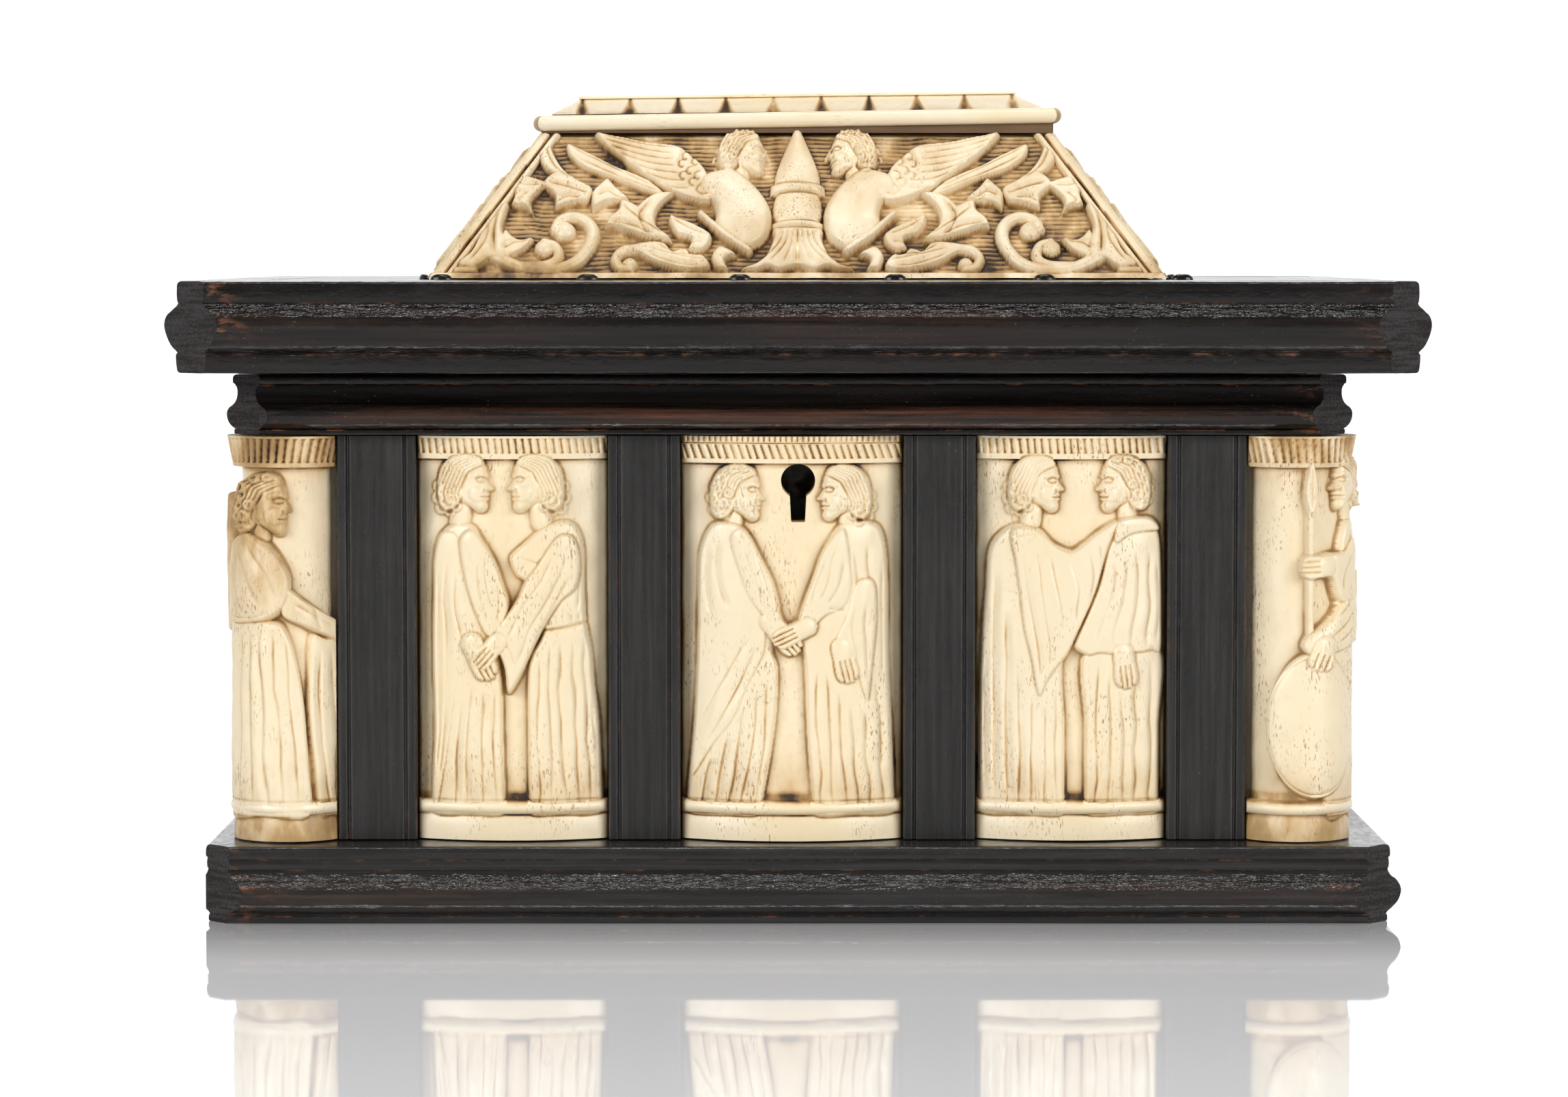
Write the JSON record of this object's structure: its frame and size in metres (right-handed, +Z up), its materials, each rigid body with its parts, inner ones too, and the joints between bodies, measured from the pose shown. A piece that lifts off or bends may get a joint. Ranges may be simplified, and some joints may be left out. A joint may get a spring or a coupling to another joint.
{
  "type": "wooden casket",
  "caption": "Rectangular ebonised wood casket faced with bowed bone plaques and corner columns, with a hinged lid, bone hipped roof and sliding-bolt lock.",
  "frame": {"origin": "on the floor under the middle of the casket", "axes": "+X along the long side to the viewer's right, +Y from the keyhole side to the hinge side, +Z up"},
  "size_m": [0.2414, 0.1784, 0.1597],
  "materials": {
    "ebonised_wood": "black stain, worn satin polish",
    "inner_wood": "bare, aged",
    "bone": "polished, brown patina in the hollows",
    "iron": "forged, dull"
  },
  "bodies": {
    "casket": {"bottom_board": "inner_wood", "front_wall": "inner_wood", "back_wall": "inner_wood", "left_wall": "inner_wood", "right_wall": "inner_wood", "base_moulding_front": "ebonised_wood", "base_moulding_back": "ebonised_wood", "base_moulding_left": "ebonised_wood", "base_moulding_right": "ebonised_wood", "frieze_moulding_front": "ebonised_wood", "frieze_moulding_back": "ebonised_wood", "frieze_moulding_left": "ebonised_wood", "frieze_moulding_right": "ebonised_wood", "pilaster_front_1": "ebonised_wood", "pilaster_front_2": "ebonised_wood", "pilaster_front_3": "ebonised_wood", "pilaster_front_4": "ebonised_wood", "pilaster_back_1": "ebonised_wood", "pilaster_back_2": "ebonised_wood", "pilaster_back_3": "ebonised_wood", "pilaster_back_4": "ebonised_wood", "plaque_front_left": "bone", "plaque_front_centre": "bone", "plaque_front_right": "bone", "plaque_back_left": "bone", "plaque_back_centre": "bone", "plaque_back_right": "bone", "plaque_left_front": "bone", "plaque_left_back": "bone", "plaque_right_front": "bone", "plaque_right_back": "bone", "corner_plaque_front_left": "bone", "corner_plaque_front_right": "bone", "corner_plaque_back_left": "bone", "corner_plaque_back_right": "bone", "hinge_left_box_leaf": "iron", "hinge_left_pin": "iron", "hinge_right_box_leaf": "iron", "hinge_right_pin": "iron", "lock_case": "iron", "lock_spring": "iron"},
    "lid": {"lid_board": "ebonised_wood", "lid_core": "inner_wood", "lid_moulding_front": "ebonised_wood", "lid_moulding_back": "ebonised_wood", "lid_moulding_left": "ebonised_wood", "lid_moulding_right": "ebonised_wood", "lid_panel_front": "bone", "lid_panel_back": "bone", "lid_panel_left": "bone", "lid_panel_right": "bone", "cap_strip_front": "bone", "cap_strip_back": "bone", "cap_strip_left": "bone", "cap_strip_right": "bone", "lid_crown": "bone", "hinge_left_lid_leaf": "iron", "hinge_right_lid_leaf": "iron", "lock_staple": "iron"},
    "bolt": {"lock_bolt": "iron"}
  },
  "joints": [
    {"name": "lid_hinge", "type": "hinge", "parent": "casket", "child": "lid", "pos_m": [0, 0.0795, 0.1049], "axis": [-1, 0, 0], "range_deg": [0, 100]},
    {"name": "lock_throw", "type": "slide", "parent": "casket", "child": "bolt", "axis": [1, 0, 0], "range_m": [0, 0.011]}
  ]
}
